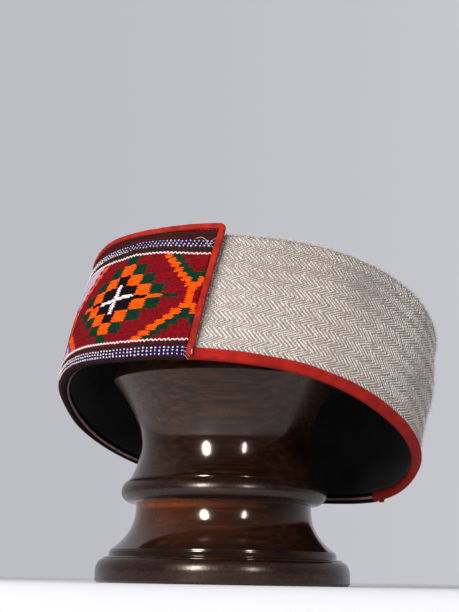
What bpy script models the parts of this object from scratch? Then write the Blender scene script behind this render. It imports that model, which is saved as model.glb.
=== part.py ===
"""A round wool cap with a patterned front flap, tilted to one side on a turned wooden hat stand.

Metres, +Z up. The origin is the middle of the stand's foot, and the cap's front faces -Y.
Angles round the cap are counted from its front, positive towards its left (+X), in degrees.
"""
import math

import bmesh
import bpy
from mathutils import Vector

# Gap between two pieces that touch, such as two layers of cloth or the cap and its stand
GAP = 0.0003

# The cap: a round wall and a flat top of tweed
RIM_RADIUS = 0.0955
CROWN_RADIUS = 0.0935
CROWN_HEIGHT = 0.0715
WALL_BULGE = 0.0014
OVAL = 0.010
TWEED = 0.0020
SHOULDER = 0.0025
TOP_SEAM = 0.0010
WALL_HEM = 0.0033
CROWN_SWELL = 0.0030

# The lining, a thin cup inside the tweed
LINING = 0.0010
LINING_CORNER = 0.0012

# The woven flap: it comes out from under the rim, folds round it and stands up along the wall
FLAP_WRAP = 227.0
FLAP_CLOTH = 0.0015
FLAP_SLACK = 0.0007
FLAP_LEAN = 0.0010
FLAP_RISE = 0.0041
FLAP_LIP = 0.0008

# The cloth edging on the flap's two ends and its top
PIPING_WIDTH = 0.0034
PIPING_DEPTH = 0.0020
PIPING_PROUD = 0.0012
PIPING_CORNER = 0.0040
PIPING_ROUND = 0.0007
PIPING_FOOT = 0.0006

# The cloth binding on the rest of the rim
BINDING_CLOTH = 0.0008
BINDING_OUTER = 0.0050
BINDING_INNER = 0.0045

# How the wall's lower and upper edges rise and sink: angle round the cap, then shares of its height
WALL_SECTIONS = (
    {"angle": -180, "rim": 0.030, "top": 0.050},
    {"angle": -150, "rim": 0.005, "top": 0.000},
    {"angle": -120, "rim": -0.030, "top": -0.005},
    {"angle": -90, "rim": 0.005, "top": 0.000},
    {"angle": -60, "rim": 0.005, "top": 0.000},
    {"angle": -30, "rim": -0.010, "top": 0.000},
    {"angle": 0, "rim": -0.020, "top": -0.005},
    {"angle": 30, "rim": 0.020, "top": 0.005},
    {"angle": 60, "rim": 0.015, "top": -0.015},
    {"angle": 90, "rim": -0.045, "top": -0.060},
    {"angle": 120, "rim": -0.010, "top": -0.025},
    {"angle": 150, "rim": 0.045, "top": 0.035},
)

# How the cap sits: the middle of its rim, and its lean towards its right side
CAP_CENTRE = (-0.0028, 0.0052, 0.0775)
CAP_LEAN = math.radians(19.4)

# The stand, from the foot up
FOOT_RADIUS = 0.0662
FOOT_EDGE = 0.0012
FOOT_MIDDLE = 0.0055
FOOT_HEIGHT = 0.0135
FOOT_ROUND = 0.0060
STEP_RADIUS = 0.0594
STEP_HEIGHT = 0.0034
LOWER_NECK = 0.0459
LOWER_COVE = 0.0237
LOWER_CURVE = 2.6
BEAD_REACH = 0.0078
BEAD_BELOW = 0.0060
BEAD_ABOVE = 0.0073
BEAD_CUT = 0.45
WAIST_RADIUS = 0.0440
WAIST_BELOW = 0.0187
WAIST_CURVE = 1.9
FLARE_HEIGHT = 0.0330
FLARE_CURVE = 1.8
DISK_RADIUS = 0.0594
DISK_EDGE = 0.0014

# How finely the round shapes are cut
STAND_SIDES = 40
CAP_SIDES = 60
TOP_RINGS = (0.35, 0.68, 1.0)
FLAP_STEP = 5.0


def remove_everything():
    for item in list(bpy.data.objects):
        bpy.data.objects.remove(item, do_unlink=True)


def plain_material(name, colour, roughness):
    """A Principled material of one colour."""
    material = bpy.data.materials.new(name)
    material.use_nodes = True
    shader = material.node_tree.nodes["Principled BSDF"]
    shader.inputs["Base Color"].default_value = (*colour, 1.0)
    shader.inputs["Roughness"].default_value = roughness
    shader.inputs["Metallic"].default_value = 0.0
    return material


def add_object(name, mesh, collection, material, parent=None):
    thing = bpy.data.objects.new(name, mesh)
    collection.objects.link(thing)
    mesh.materials.append(material)
    thing.parent = parent
    return thing


def solidify(thing, thickness):
    """Thickens a sheet to the side away from its faces."""
    modifier = thing.modifiers.new("Cloth thickness", "SOLIDIFY")
    modifier.thickness = thickness
    modifier.offset = -1.0
    modifier.use_even_offset = True
    modifier.use_rim = True


def shade_round(mesh, limit=40.0):
    mesh.shade_smooth()
    mesh.set_sharp_from_angle(angle=math.radians(limit))


def sheet_mesh(name, rows, closed, pole=False):
    """An open sheet from rows of points. Rows run down its outer side, points counterclockwise."""
    mesh = bpy.data.meshes.new(name)
    shape = bmesh.new()
    grid = [[shape.verts.new(point) for point in row] for row in rows]
    count = len(rows[-1])
    last = count if closed else count - 1
    for upper, lower in zip(grid, grid[1:]):
        for i in range(last):
            j = (i + 1) % count
            if pole and upper is grid[0]:
                shape.faces.new((upper[0], lower[i], lower[j]))
            else:
                shape.faces.new((upper[i], lower[i], lower[j], upper[j]))
    shape.to_mesh(mesh)
    shape.free()
    shade_round(mesh)
    return mesh


def section_value(angle, column):
    """A share from WALL_SECTIONS at any angle, on a smooth closed curve through its rows."""
    count = len(WALL_SECTIONS)
    step = 360.0 / count
    place = (angle - WALL_SECTIONS[0]["angle"]) / step
    row = math.floor(place)
    t = place - row
    before, start, end, after = (WALL_SECTIONS[(row + k) % count][column] for k in (-1, 0, 1, 2))
    slope_in = (end - before) / 2.0
    slope_out = (after - start) / 2.0
    return ((2 * t ** 3 - 3 * t ** 2 + 1) * start + (t ** 3 - 2 * t ** 2 + t) * slope_in
            + (3 * t ** 2 - 2 * t ** 3) * end + (t ** 3 - t ** 2) * slope_out)


def polar(angle, radius, height):
    turn = math.radians(angle - 90.0)
    oval = 1.0 + OVAL * math.cos(2.0 * math.radians(angle))
    return Vector((radius * oval * math.cos(turn), radius * oval * math.sin(turn), height))


def wall_height(angle, height):
    """Where a height measured up the wall lies, once the rim and the top have sunk or risen."""
    share = height / CROWN_HEIGHT
    rim = section_value(angle, "rim")
    top = section_value(angle, "top")
    return height + CROWN_HEIGHT * (rim + (top - rim) * share)


def wall_radius(height):
    """Radius of the tweed wall's outer face at a height."""
    share = height / CROWN_HEIGHT
    taper = (CROWN_RADIUS - RIM_RADIUS) * share
    return RIM_RADIUS + taper + WALL_BULGE * 4.0 * share * (1.0 - share)


def wall_point(angle, height, out=0.0):
    return polar(angle, wall_radius(height) + out, wall_height(angle, height))


def top_edge():
    """Radius of the flat top, inside the wall's rounded shoulder and its seam."""
    return wall_radius(CROWN_HEIGHT) - SHOULDER - TOP_SEAM - GAP


def top_point(angle, radius, drop):
    """A point of the flat top, a drop below its outer face. It follows the wall at its edge."""
    share = min(radius / top_edge(), 1.0)
    lift = CROWN_HEIGHT * section_value(angle, "top") * (3.0 - 2.0 * share) * share ** 2
    return polar(angle, radius, CROWN_HEIGHT + lift + CROWN_SWELL * (1.0 - share ** 2) ** 2 - drop)


def angles_round(start, end, step):
    count = max(1, round((end - start) / step))
    return [start + (end - start) * i / count for i in range(count + 1)]


def full_circle():
    return [360.0 * i / CAP_SIDES - 180.0 for i in range(CAP_SIDES)]


def fold_points(angle, width_out, width_in, steps):
    """Half circle under the rim, from the outer face round to the inner one, lowest at the rim."""
    radius = (width_out + width_in) / 2.0
    middle = (width_out - width_in) / 2.0
    points = []
    for i in range(steps + 1):
        turn = math.pi * i / steps
        out = middle + radius * math.cos(turn)
        height = radius * (1.0 - math.sin(turn))
        points.append(wall_point(angle, height, out))
    return points


def length_to_angle(length):
    return math.degrees(length / RIM_RADIUS)


def flap_out():
    """Outer face of the flap beyond the wall, at the rim."""
    return FLAP_SLACK + FLAP_CLOTH


def flap_lip():
    """Inner face of the flap's turned-in edge, inside the wall's outer face."""
    return TWEED + GAP + FLAP_CLOTH


def flap_fold():
    """Radius of the flap's fold round the rim, on its outer face."""
    return (flap_out() + flap_lip()) / 2.0


def flap_face(height):
    return flap_out() + FLAP_LEAN * height / CROWN_HEIGHT


def flap_top():
    return CROWN_HEIGHT + FLAP_RISE


def flap_end():
    """Angle at which the woven cloth ends, beside the piping."""
    return FLAP_WRAP / 2.0 - length_to_angle(PIPING_WIDTH + GAP)


def binding_out():
    return GAP + BINDING_CLOTH


def binding_lip():
    return TWEED + GAP + BINDING_CLOTH


def make_crown_side(collection, material, parent):
    shoulder_steps = 3
    heights = [CROWN_HEIGHT - SHOULDER, CROWN_HEIGHT * 0.68, CROWN_HEIGHT * 0.36, WALL_HEM]
    edge = wall_radius(CROWN_HEIGHT) - SHOULDER
    rows = [[polar(a, edge - TOP_SEAM, wall_height(a, CROWN_HEIGHT)) for a in full_circle()]]
    for i in range(shoulder_steps):
        turn = math.pi / 2.0 * (1.0 - i / shoulder_steps)
        drop = SHOULDER * (1.0 - math.sin(turn))
        rows.append([polar(a, edge + SHOULDER * math.cos(turn), wall_height(a, CROWN_HEIGHT - drop))
                     for a in full_circle()])
    for height in heights:
        rows.append([wall_point(a, height) for a in full_circle()])
    side = add_object("crown_side", sheet_mesh("crown_side", rows, True), collection, material, parent)
    solidify(side, TWEED)
    return side


def top_rows(angles, drop):
    """Rings of points of the flat top, from its middle to its edge."""
    rows = [[top_point(0.0, 0.0, drop)]]
    for share in TOP_RINGS:
        rows.append([top_point(a, top_edge() * share, drop) for a in angles])
    return rows


def make_crown_top(collection, material, parent):
    mesh = sheet_mesh("crown_top", top_rows(full_circle(), 0.0), True, True)
    top = add_object("crown_top", mesh, collection, material, parent)
    solidify(top, TWEED)
    return top


def lining_hem(angle):
    """The lining ends just above the flap's turned-in edge, or above the binding's."""
    if abs(angle) <= flap_end() + length_to_angle(GAP):
        return flap_fold() + FLAP_LIP + GAP
    return BINDING_INNER + GAP


def make_lining(collection, material, parent):
    skin = TWEED + GAP
    flat = wall_radius(CROWN_HEIGHT) - skin - LINING_CORNER
    angles = sorted(full_circle() + [-flap_end() - length_to_angle(2.0 * GAP), flap_end()
                                     + length_to_angle(2.0 * GAP)])
    rows = top_rows(angles, skin)
    for turn in (math.radians(90.0), math.radians(45.0), 0.0):
        drop = skin + LINING_CORNER * (1.0 - math.sin(turn))
        rows.append([polar(a, flat + LINING_CORNER * math.cos(turn), wall_height(a, CROWN_HEIGHT) - drop)
                     for a in angles])
    rows.append([wall_point(a, CROWN_HEIGHT * 0.5, -skin) for a in angles])
    rows.append([wall_point(a, lining_hem(a), -skin) for a in angles])
    lining = add_object("lining", sheet_mesh("lining", rows, True, True), collection, material, parent)
    solidify(lining, LINING)
    return lining


def make_front_flap(collection, material, parent):
    angles = angles_round(-flap_end(), flap_end(), FLAP_STEP)
    fold_steps = 6
    fold_height = flap_fold()
    top = flap_top() - PIPING_WIDTH - GAP
    columns = []
    for angle in angles:
        leaf = [wall_point(angle, fold_height + (top - fold_height) * share, flap_face(top * share))
                for share in (1.0, 0.75, 0.5, 0.25)]
        fold = fold_points(angle, flap_out(), flap_lip(), fold_steps)
        lip = wall_point(angle, fold_height + FLAP_LIP, -flap_lip())
        columns.append(leaf + fold + [lip])
    rows = [list(row) for row in zip(*columns)]
    flap = add_object("front_flap", sheet_mesh("front_flap", rows, False), collection, material, parent)
    solidify(flap, FLAP_CLOTH)
    return flap


def piping_stations():
    """Stations along the flap's edge, up one end, along the top and down the other: angle and height
    of the edge, then the same of the line one piping width inside it."""
    half = FLAP_WRAP / 2.0
    top = flap_top()
    stations = []
    side_steps = 7
    corner_steps = 4
    corner_angle = length_to_angle(PIPING_CORNER)
    inner = PIPING_CORNER - PIPING_WIDTH
    for i in range(side_steps):
        height = PIPING_FOOT + (top - PIPING_CORNER - PIPING_FOOT) * i / side_steps
        stations.append((-half, height, -half + length_to_angle(PIPING_WIDTH), height))
    for i in range(corner_steps):
        turn = math.pi / 2.0 * i / corner_steps
        along = 1.0 - math.cos(turn)
        edge_height = top - PIPING_CORNER * (1.0 - math.sin(turn))
        inner_height = top - PIPING_CORNER + inner * math.sin(turn)
        inner_angle = -half + corner_angle - length_to_angle(inner) * math.cos(turn)
        stations.append((-half + corner_angle * along, edge_height, inner_angle, inner_height))
    for angle in angles_round(-half + corner_angle, 0.0, FLAP_STEP):
        stations.append((angle, top, angle, top - PIPING_WIDTH))
    mirrored = [(-a, h, -b, g) for a, h, b, g in reversed(stations[:-1])]
    return stations + mirrored


def make_flap_binding(collection, material, parent):
    edge = []
    inside = []
    for angle, height, inner_angle, inner_height in piping_stations():
        edge.append(wall_point(angle, height, flap_face(height) + PIPING_PROUD))
        inside.append(wall_point(inner_angle, inner_height, flap_face(inner_height) + PIPING_PROUD))
    mesh = sheet_mesh("flap_binding", [edge, inside], False)
    piping = add_object("flap_binding", mesh, collection, material, parent)
    solidify(piping, PIPING_DEPTH)
    rounding = piping.modifiers.new("Rounded edges", "BEVEL")
    rounding.width = PIPING_ROUND
    rounding.segments = 1
    rounding.limit_method = "ANGLE"
    rounding.angle_limit = math.radians(50.0)
    return piping


def make_rim_binding(collection, material, parent):
    start = flap_end() + length_to_angle(GAP)
    angles = angles_round(start, 360.0 - start, FLAP_STEP)
    fold_steps = 4
    columns = []
    for angle in angles:
        column = [wall_point(angle, BINDING_OUTER, binding_out())]
        column += fold_points(angle, binding_out(), binding_lip(), fold_steps)
        column.append(wall_point(angle, BINDING_INNER, -binding_lip()))
        columns.append(column)
    rows = [list(row) for row in zip(*columns)]
    binding = add_object("rim_binding", sheet_mesh("rim_binding", rows, False), collection, material, parent)
    solidify(binding, BINDING_CLOTH)
    return binding


def cove(neck, neck_height, end, end_height, curve, steps):
    """Points of a hollow curve from its neck to its wide end, without the neck itself."""
    points = []
    for i in range(1, steps + 1):
        t = i / steps
        points.append((neck + (end - neck) * t ** curve, neck_height + (end_height - neck_height) * t))
    return points


def seat_sphere(disk_height):
    """Centre height and radius of the domed head, which passes through the disk's edge and meets
    the underside of the leaning crown."""
    under = CROWN_HEIGHT + CROWN_SWELL - TWEED - LINING - 2.0 * GAP
    axis = Vector((-math.sin(CAP_LEAN), 0.0, math.cos(CAP_LEAN)))
    reach = Vector(CAP_CENTRE).dot(axis) + under
    slope = axis.z
    a = 1.0 - slope ** 2
    b = 2.0 * (reach * slope - disk_height)
    c = DISK_RADIUS ** 2 + disk_height ** 2 - reach ** 2
    centre = (-b + math.sqrt(b ** 2 - 4.0 * a * c)) / (2.0 * a)
    return centre, reach - centre * slope


def stand_profile():
    """Radius and height of the stand's outline, from the top of its head down to its foot."""
    step_top = FOOT_HEIGHT + STEP_HEIGHT
    neck_height = step_top + LOWER_COVE
    bead_height = neck_height + BEAD_BELOW
    bead_top = bead_height + BEAD_ABOVE * math.sqrt(1.0 - BEAD_CUT ** 2)
    bead_top_radius = LOWER_NECK + BEAD_REACH * BEAD_CUT
    waist_height = bead_top + WAIST_BELOW
    disk_height = waist_height + FLARE_HEIGHT
    profile = []

    centre, radius = seat_sphere(disk_height + DISK_EDGE)
    edge_turn = math.asin((disk_height + DISK_EDGE - centre) / radius)
    head_steps = 7
    for i in range(head_steps):
        turn = math.pi / 2.0 + (edge_turn - math.pi / 2.0) * i / head_steps
        profile.append((radius * math.cos(turn), centre + radius * math.sin(turn)))
    profile.append((DISK_RADIUS, disk_height + DISK_EDGE))
    profile.append((DISK_RADIUS, disk_height))

    flare = cove(WAIST_RADIUS, waist_height, DISK_RADIUS, disk_height, FLARE_CURVE, 7)
    profile += reversed(flare[:-1])
    profile.append((WAIST_RADIUS, waist_height))
    profile += cove(WAIST_RADIUS, waist_height, bead_top_radius, bead_top, WAIST_CURVE, 4)

    cut = math.asin(math.sqrt(1.0 - BEAD_CUT ** 2))
    for i in range(1, 4):
        turn = cut * (1.0 - i / 3.0)
        profile.append((LOWER_NECK + BEAD_REACH * math.cos(turn), bead_height + BEAD_ABOVE * math.sin(turn)))
    for i in range(1, 5):
        turn = math.pi / 2.0 * i / 4.0
        profile.append((LOWER_NECK + BEAD_REACH * math.cos(turn), bead_height - BEAD_BELOW * math.sin(turn)))

    profile += cove(LOWER_NECK, neck_height, STEP_RADIUS, step_top, LOWER_CURVE, 6)
    profile.append((STEP_RADIUS, FOOT_HEIGHT))
    shelf = FOOT_RADIUS - FOOT_ROUND
    for i in range(5):
        turn = math.pi / 2.0 * (1.0 - i / 4.0)
        profile.append((shelf + FOOT_ROUND * math.cos(turn),
                        FOOT_MIDDLE + (FOOT_HEIGHT - FOOT_MIDDLE) * math.sin(turn)))
    profile.append((FOOT_RADIUS, FOOT_EDGE))
    profile.append((FOOT_RADIUS - FOOT_EDGE, 0.0))
    profile.append((0.0, 0.0))
    return profile


def make_stand(collection, material):
    mesh = bpy.data.meshes.new("hat_stand")
    shape = bmesh.new()
    points = [shape.verts.new((radius, 0.0, height)) for radius, height in stand_profile()]
    for upper, lower in zip(points, points[1:]):
        shape.edges.new((upper, lower))
    shape.to_mesh(mesh)
    shape.free()
    stand = add_object("hat_stand", mesh, collection, material)
    turning = stand.modifiers.new("Turned shape", "SCREW")
    turning.axis = "Z"
    turning.angle = 2.0 * math.pi
    turning.steps = STAND_SIDES
    turning.render_steps = STAND_SIDES
    turning.use_merge_vertices = True
    turning.merge_threshold = 0.00005
    turning.use_smooth_shade = True
    return stand


def build():
    remove_everything()
    collection = bpy.data.collections.new("cap_on_stand")
    bpy.context.scene.collection.children.link(collection)
    tweed = plain_material("tweed", (0.52, 0.47, 0.42), 0.9)
    woven = plain_material("woven_band", (0.27, 0.02, 0.03), 0.85)
    red_cloth = plain_material("red_cloth", (0.55, 0.04, 0.02), 0.7)
    lining_cloth = plain_material("lining_cloth", (0.006, 0.006, 0.007), 0.8)
    dark_wood = plain_material("dark_wood", (0.03, 0.013, 0.009), 0.2)

    cap = bpy.data.objects.new("cap_seat", None)
    collection.objects.link(cap)
    cap.location = CAP_CENTRE
    cap.rotation_euler = (0.0, -CAP_LEAN, 0.0)

    make_stand(collection, dark_wood)
    make_crown_side(collection, tweed, cap)
    make_crown_top(collection, tweed, cap)
    make_lining(collection, lining_cloth, cap)
    make_front_flap(collection, woven, cap)
    make_flap_binding(collection, red_cloth, cap)
    make_rim_binding(collection, red_cloth, cap)


build()
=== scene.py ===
"""The looks of a woven-fronted wool cap on its turned wooden stand.

Metres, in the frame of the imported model. Angles round the cap are in degrees from its front,
positive towards its left (+X). Pieces of the cap are made upright and then leant by CAP_SEAT.
"""
import math

import bmesh
import bpy
import numpy as np
from mathutils import Matrix, Vector

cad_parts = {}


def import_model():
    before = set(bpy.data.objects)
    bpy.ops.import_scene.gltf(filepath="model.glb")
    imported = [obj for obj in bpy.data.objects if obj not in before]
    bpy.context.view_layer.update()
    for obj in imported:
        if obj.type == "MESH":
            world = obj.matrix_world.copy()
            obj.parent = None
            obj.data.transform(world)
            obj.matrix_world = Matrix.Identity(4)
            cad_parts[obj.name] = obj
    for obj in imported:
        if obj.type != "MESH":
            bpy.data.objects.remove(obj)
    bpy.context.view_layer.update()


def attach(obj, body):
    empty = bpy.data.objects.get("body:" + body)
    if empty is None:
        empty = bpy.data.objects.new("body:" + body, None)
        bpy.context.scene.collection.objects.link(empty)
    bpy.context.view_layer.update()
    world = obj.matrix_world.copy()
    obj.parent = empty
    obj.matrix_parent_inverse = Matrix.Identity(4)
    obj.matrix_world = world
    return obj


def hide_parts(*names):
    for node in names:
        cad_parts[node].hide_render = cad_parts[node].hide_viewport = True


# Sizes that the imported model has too
GAP = 0.0003
RIM_RADIUS = 0.0955
CROWN_RADIUS = 0.0935
CROWN_HEIGHT = 0.0715
WALL_BULGE = 0.0014
OVAL = 0.010
TWEED = 0.0020
SHOULDER = 0.0025
TOP_SEAM = 0.0010
WALL_HEM = 0.0033
CROWN_SWELL = 0.0030
LINING = 0.0010
LINING_CORNER = 0.0012
FLAP_WRAP = 227.0
FLAP_CLOTH = 0.0015
FLAP_SLACK = 0.0007
FLAP_LEAN = 0.0010
FLAP_RISE = 0.0041
FLAP_LIP = 0.0008
PIPING_WIDTH = 0.0034
PIPING_DEPTH = 0.0020
PIPING_PROUD = 0.0012
PIPING_CORNER = 0.0040
PIPING_FOOT = 0.0006
BINDING_CLOTH = 0.0008
BINDING_OUTER = 0.0050
BINDING_INNER = 0.0045
# Rises of the rim and the top every 30 degrees from -180, as shares of the crown's height
WALL_SECTIONS = (
    (0.030, 0.050), (0.005, 0.000), (-0.030, -0.005), (0.005, 0.000),
    (0.005, 0.000), (-0.010, 0.000), (-0.020, -0.005), (0.020, 0.005),
    (0.015, -0.015), (-0.045, -0.060), (-0.010, -0.025), (0.045, 0.035),
)
CAP_CENTRE = (-0.0028, 0.0052, 0.0775)
CAP_LEAN = math.radians(19.4)
FOOT_RADIUS = 0.0662
FOOT_EDGE = 0.0012
FOOT_MIDDLE = 0.0055
FOOT_HEIGHT = 0.0135
FOOT_ROUND = 0.0060
STEP_RADIUS = 0.0594
STEP_HEIGHT = 0.0034
LOWER_NECK = 0.0459
LOWER_COVE = 0.0237
LOWER_CURVE = 2.6
BEAD_REACH = 0.0078
BEAD_BELOW = 0.0060
BEAD_ABOVE = 0.0073
BEAD_CUT = 0.45
WAIST_RADIUS = 0.0440
WAIST_BELOW = 0.0187
WAIST_CURVE = 1.9
FLARE_HEIGHT = 0.0330
FLARE_CURVE = 1.8
DISK_RADIUS = 0.0594
DISK_EDGE = 0.0014

# Worked out from them
TOP_EDGE = CROWN_RADIUS - SHOULDER - TOP_SEAM - GAP
LINING_SKIN = TWEED + GAP
FLAP_OUT = FLAP_SLACK + FLAP_CLOTH
FLAP_IN = LINING_SKIN + FLAP_CLOTH
FLAP_FOLD = (FLAP_OUT + FLAP_IN) / 2.0
FLAP_TOP = CROWN_HEIGHT + FLAP_RISE
FLAP_END = FLAP_WRAP / 2.0 - math.degrees((PIPING_WIDTH + GAP) / RIM_RADIUS)
FLAP_LENGTH = math.radians(2.0 * FLAP_END) * RIM_RADIUS
TWEED_START = FLAP_END - 2.0
TWEED_SPAN = 360.0 - 2.0 * TWEED_START

# Narrow polished faces of the turning, and its softened edges
QUIRK_HEIGHT = 0.0007
QUIRK_LEAN = 0.00012
QUIRK_OUT = 0.0006
FOOT_QUIRK = 7
SOFT_EDGE = 0.00022

# The camera, as fitted to the photograph
CAMERA_SIDE = 128.3
CAMERA_DISTANCE = 0.772
CAMERA_HEIGHT = 0.00217
CAMERA_PITCH = 10.647
CAMERA_YAW = 0.09
CAMERA_ROLL = 1.027
CAMERA_FOCUS = 1460.0
PHOTO_HEIGHT = 612.0
SENSOR = 36.0
AWAY = (-math.sin(math.radians(CAMERA_SIDE)), math.cos(math.radians(CAMERA_SIDE)))
WALL_COLOURS = ((188, 188, 195), (198, 198, 205))
LIGHT_DISTANCE = 1.4
LIGHT_AIM = (0.0, 0.0, 0.08)
FLOOR_REACH = 6.0
FLOOR_FADE = 1.1

# Dents of the open tweed wall, whose half span is an angle, and folds of the lining
DENT = 0.0014
DENT_SPAN = 66.0
LINING_FOLD = 0.0011

# The herringbone's two kinds of rows: height, the floats' slope in degrees, way and fill
HERRINGBONE = ((0.0050, 41.0, -1.0, 0.60), (0.0038, 29.0, 1.0, 0.50))
TWILL_PITCH = 0.0024
FLOAT_LENGTH = 0.0021
FLOAT_RISE = 0.00045
FLOAT_LIFTS = (0.00002, 0.00012, 0.0, 0.00012, -0.0001, 0.00002)
FLOAT_SPACING = 0.0012
FLOAT_TILT = 9.0
FLOAT_FACES = ((0, 1, 2), (0, 2, 3), (0, 3, 4), (0, 4, 1), (1, 5, 2), (2, 5, 3), (3, 5, 4), (4, 5, 1))
FLOAT_CREAM = (244, 235, 228)
ROW_SWAY = 0.0010
# Painted shade and light on the tweed's floats: the piping's shadow beside the flap, shade in the dents
# and on the upper wall, and light near the flap. Distance from the flap, height above the rim, reach,
# tone and stretch
PAINTED_SHADE_AND_LIGHT_PATCHES = (
    (0.0076, 0.033, 0.0013, -0.75, 60.0),
    (0.010, 0.030, 0.024, 0.12, 1.0),
    (0.046, 0.056, 0.020, -0.28, 1.0),
    (0.066, 0.043, 0.009, 0.16, 1.0),
    (0.086, 0.057, 0.020, -0.24, 1.0),
    (0.072, 0.022, 0.018, -0.10, 1.0),
)
FIBRES = 9000
FIBRE_THICK = 0.00006

# The woven flap's cells: one pick of weft high and about two threads of warp wide
PICK = 0.00064
THREADS = 0.00102
THREAD_RELIEF = 0.00010
PICK_RELIEF = 0.00005
CLOTH_WAVE = 0.00035

# The flap's pattern, in millimetres. Heights are above the rim along the cloth, and run on below
# zero round the fold. The middle of one diamond is MOTIF_ANGLE round the cap.
MM_PER_DEGREE = 1.71
MOTIF_ANGLE = 81.1
MOTIF_HALF_PERIOD = 46.8
MOTIF_MIDDLE = 33.6
BLOCK_WIDTHS = (8.2, 8.9)
BLOCK_HEIGHT = 6.0
THIN_ROW = 2.0
TOOTH = 0.45
# The blocks lean by SKEW, which fades out over SKEW_FADE before the angle SKEW_ANGLE
SKEW = 0.2
SKEW_ANGLE = 112.0
SKEW_FADE = 40.0
# Lower edges of the borders' stripes, and their yarns
BORDER_STRIPES = (
    (-12.0, "black"), (-5.2, "pink"), (-3.9, "black"), (-2.3, "olive"), (-0.3, "wine"),
    (0.7, "navy"), (5.4, "wine"), (6.4, "olive"), (7.7, "wine"), (10.2, "maroon"),
    (58.0, "wine"), (59.6, "olive"), (61.6, "wine"), (62.2, "navy"), (66.3, "wine"),
    (67.8, "olive"), (70.3, "wine"),
)
WHITE_LINES = (8.9, 58.3)
ROW_DROOP = 0.0028
FIELD_RISE = 24.7
UPRIGHT = 4.9
UPRIGHT_WIDTH = 3.4
FRAME_WIDTH = 5.0
EDGE_WIDTH = 6.2
PALE_EDGE_SHARE = 0.6
FRAME_RUN = 23.0
FRAME_STEPS = 7
# The white cross, whose reach is in blocks
CROSS_REACH = 1.35
ARM_THICK = 0.9
ARM_SLOPE = 0.11
STEM_THICK = 1.25
DOT_ROWS = (4.7, 3.1, 1.5, 65.6, 64.1, 62.8)
DOT_PITCH = 2.3
DOT_SIDES = 8
# How far the upper border has worked up or down, at angles round the cap
BORDER_DRIFT = (
    (60.0, 0.0), (78.0, 0.9), (84.0, 2.1), (92.0, 1.6),
    (97.0, 0.8), (105.0, -0.7), (113.0, -1.4),
)
YARNS = {
    "maroon": (116, 8, 18),
    "wine": (84, 6, 20),
    "orange": (250, 82, 2),
    "green": (5, 48, 30),
    "navy": (27, 22, 66),
    "black": (13, 8, 12),
    "olive": (33, 32, 20),
    "white": (232, 214, 216),
    "pink": (166, 126, 127),
    "pale": (188, 171, 188),
    "violet": (78, 48, 128),
}
# Each loose thread's thickness, and its points: angle, height along the cloth and distance off it
LOOSE_THREADS = (
    (0.18, ((105.2, 66.3, 0.5), (106.6, 66.9, 0.9), (107.9, 65.9, 1.1),
            (109.0, 64.0, 0.9), (109.6, 62.2, 0.5))),
    (0.42, ((113.2, 3.2, 1.3), (113.4, 2.6, 2.0), (113.5, 2.0, 2.1), (113.4, 1.5, 1.4))),
    (0.12, ((110.2, 4.6, 0.3), (111.4, 4.2, 0.8), (112.4, 4.8, 1.2))),
    (0.12, ((110.4, 3.0, 0.3), (111.6, 2.1, 0.9), (112.8, 0.6, 1.3))),
    (0.12, ((110.6, 1.5, 0.3), (111.6, 0.4, 0.9), (112.2, -1.0, 1.0))),
    (0.12, ((109.9, 64.0, 0.3), (110.9, 65.2, 0.8), (111.6, 66.2, 0.9))),
    (0.12, ((110.1, 62.4, 0.3), (111.0, 62.9, 0.8), (111.8, 64.1, 0.9))),
    (0.12, ((110.0, 61.0, 0.3), (110.9, 61.2, 0.7), (111.7, 60.1, 0.9))),
)

# How dull handling has made the polished wood, at heights in metres
WORN_HEIGHTS = (
    (0.0, 0.36), (0.0108, 0.36), (0.0115, 0.0), (0.0400, 0.0), (0.0420, 0.38),
    (0.0522, 0.38), (0.0528, 0.0), (0.0780, 0.0), (0.0860, 0.5),
)
# Hairline cracks: turn in degrees, half width in radians, height and half length
CRACKS = ((-9.4, 0.0075, 0.0345, 0.0060), (-13.0, 0.0045, 0.0330, 0.0040))
EMBER_BAND = (0.0366, 0.0404, 0.0416)

RANDOM = np.random.default_rng(20)
CAP_SEAT = Matrix.Translation(CAP_CENTRE) @ Matrix.Rotation(-CAP_LEAN, 4, "Y")


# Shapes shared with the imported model, for whole arrays at a time

def section_value(angle, column):
    shares = np.array(WALL_SECTIONS)[:, column]
    count = len(shares)
    place = (angle + 180.0) / (360.0 / count)
    row = np.floor(place).astype(int)
    t = place - row
    before, start, end, after = (shares[(row + k) % count] for k in (-1, 0, 1, 2))
    slope_in = (end - before) / 2.0
    slope_out = (after - start) / 2.0
    return ((2 * t ** 3 - 3 * t ** 2 + 1) * start + (t ** 3 - 2 * t ** 2 + t) * slope_in
            + (3 * t ** 2 - 2 * t ** 3) * end + (t ** 3 - t ** 2) * slope_out)


def polar(angle, radius, height):
    angle, radius, height = np.broadcast_arrays(angle, radius, height)
    turn = np.radians(angle - 90.0)
    oval = 1.0 + OVAL * np.cos(2.0 * np.radians(angle))
    return np.stack([radius * oval * np.cos(turn), radius * oval * np.sin(turn), height], axis=-1)


def wall_height(angle, height):
    rim = section_value(angle, 0)
    top = section_value(angle, 1)
    return height + CROWN_HEIGHT * (rim + (top - rim) * height / CROWN_HEIGHT)


def wall_radius(height):
    share = height / CROWN_HEIGHT
    return RIM_RADIUS + (CROWN_RADIUS - RIM_RADIUS) * share + WALL_BULGE * 4.0 * share * (1.0 - share)


def wall_point(angle, height, out):
    return polar(angle, wall_radius(height) + out, wall_height(angle, height))


def top_point(angle, radius, drop):
    share = np.minimum(radius / TOP_EDGE, 1.0)
    lift = CROWN_HEIGHT * section_value(angle, 1) * (3.0 - 2.0 * share) * share ** 2
    return polar(angle, radius, CROWN_HEIGHT + lift + CROWN_SWELL * (1.0 - share ** 2) ** 2 - drop)


def length_to_angle(length):
    return math.degrees(length / RIM_RADIUS)


def flap_face(height):
    return FLAP_OUT + FLAP_LEAN * height / CROWN_HEIGHT


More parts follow.
